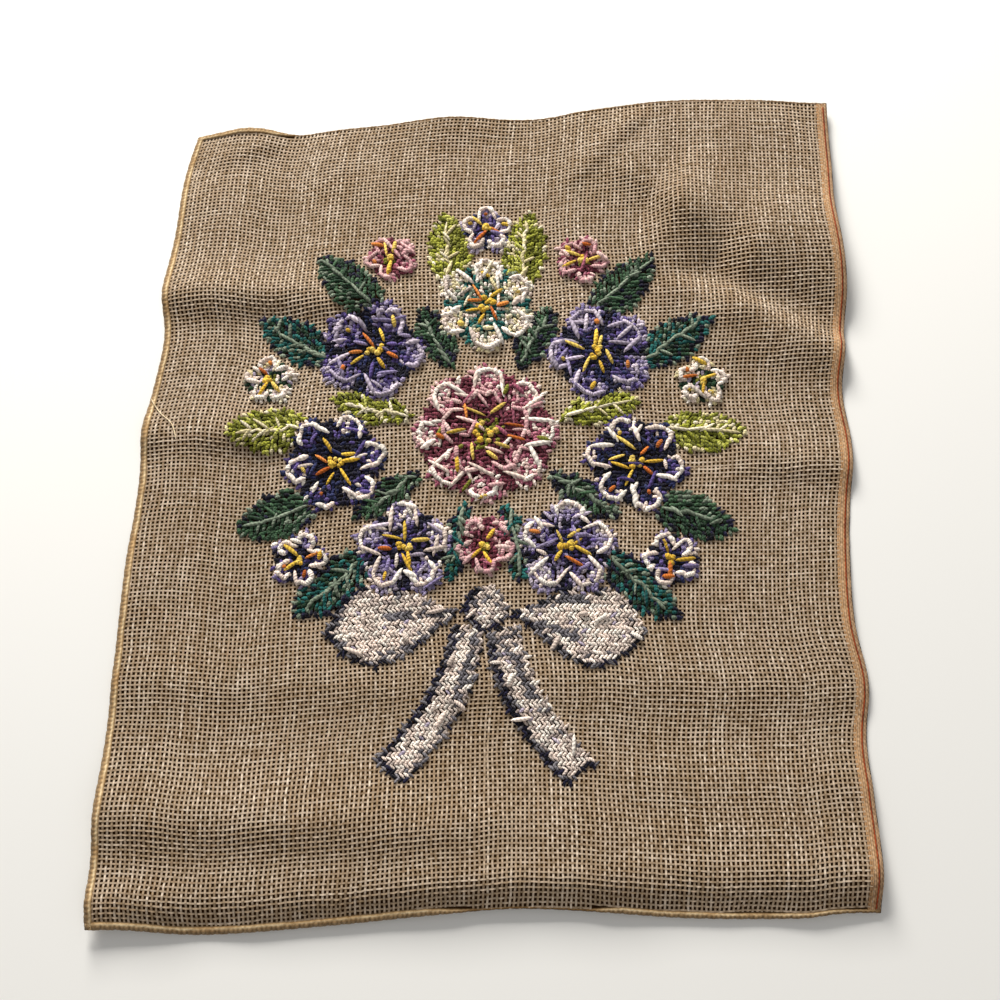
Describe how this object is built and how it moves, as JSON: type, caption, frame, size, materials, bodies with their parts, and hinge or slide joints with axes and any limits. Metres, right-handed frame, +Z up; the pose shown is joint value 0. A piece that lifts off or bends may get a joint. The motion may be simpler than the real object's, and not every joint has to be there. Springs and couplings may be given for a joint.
{
  "type": "needlepoint canvas panel",
  "caption": "Wavy rectangular panel of open cotton canvas with narrow turned hems and a woven selvage, worked in thick wool with a garland of flowers, leaves and a ribbon bow.",
  "frame": {"origin": "middle of the panel's bounding box, at the height of the surface it lies on", "axes": "+X towards the selvage edge, +Y towards the top edge, +Z up out of the cloth"},
  "size_m": [0.4508, 0.5336, 0.0112],
  "materials": {
    "canvas_cotton": "open double-thread cotton canvas, tan, matt, with dark mesh holes",
    "wool_pink": "thick matt wool yarn in small slanted and long stitches, pink",
    "wool_white": "thick matt wool yarn in small slanted and long stitches, white",
    "wool_violet": "thick matt wool yarn in small slanted and long stitches, violet",
    "wool_navy": "thick matt wool yarn in small slanted and long stitches, navy",
    "wool_lilac": "thick matt wool yarn in small slanted and long stitches, lilac",
    "wool_lime": "thick matt wool yarn in small slanted and long stitches, lime",
    "wool_green": "thick matt wool yarn in small slanted and long stitches, green",
    "wool_teal": "thick matt wool yarn in small slanted and long stitches, teal",
    "wool_silver": "thick matt wool yarn in small slanted and long stitches, silver",
    "loose_cotton": "thin cream cotton thread",
    "selvage_red": "rust red marker thread woven into the selvage"
  },
  "bodies": {
    "root": {"canvas": "canvas_cotton", "rosette_heart": "wool_pink", "flower_top": "wool_white", "blossom_foot": "wool_pink", "blossom_top": "wool_lilac", "flower_high_left": "wool_violet", "flower_high_right": "wool_violet", "flower_side_left": "wool_navy", "flower_side_right": "wool_navy", "flower_low_left": "wool_lilac", "flower_low_right": "wool_lilac", "blossom_high_left": "wool_pink", "blossom_high_right": "wool_pink", "blossom_side_left": "wool_white", "blossom_side_right": "wool_white", "blossom_low_left": "wool_violet", "blossom_low_right": "wool_violet", "bow_knot": "wool_silver", "bow_loop_left": "wool_silver", "bow_loop_right": "wool_silver", "bow_tail_left": "wool_silver", "bow_tail_right": "wool_silver", "leaf_top_left": "wool_lime", "leaf_top_right": "wool_lime", "leaf_high_left": "wool_green", "leaf_high_right": "wool_green", "leaf_upper_left": "wool_teal", "leaf_upper_right": "wool_teal", "leaf_side_left": "wool_lime", "leaf_side_right": "wool_lime", "leaf_lower_left": "wool_green", "leaf_lower_right": "wool_green", "leaf_low_left": "wool_teal", "leaf_low_right": "wool_teal", "leaf_inner_high_left": "wool_green", "leaf_inner_high_right": "wool_green", "leaf_inner_side_left": "wool_lime", "leaf_inner_side_right": "wool_lime", "leaf_inner_low_left": "wool_green", "leaf_inner_low_right": "wool_green", "leaf_foot_left": "wool_teal", "leaf_foot_right": "wool_teal", "loose_thread": "loose_cotton"}
  },
  "joints": []
}
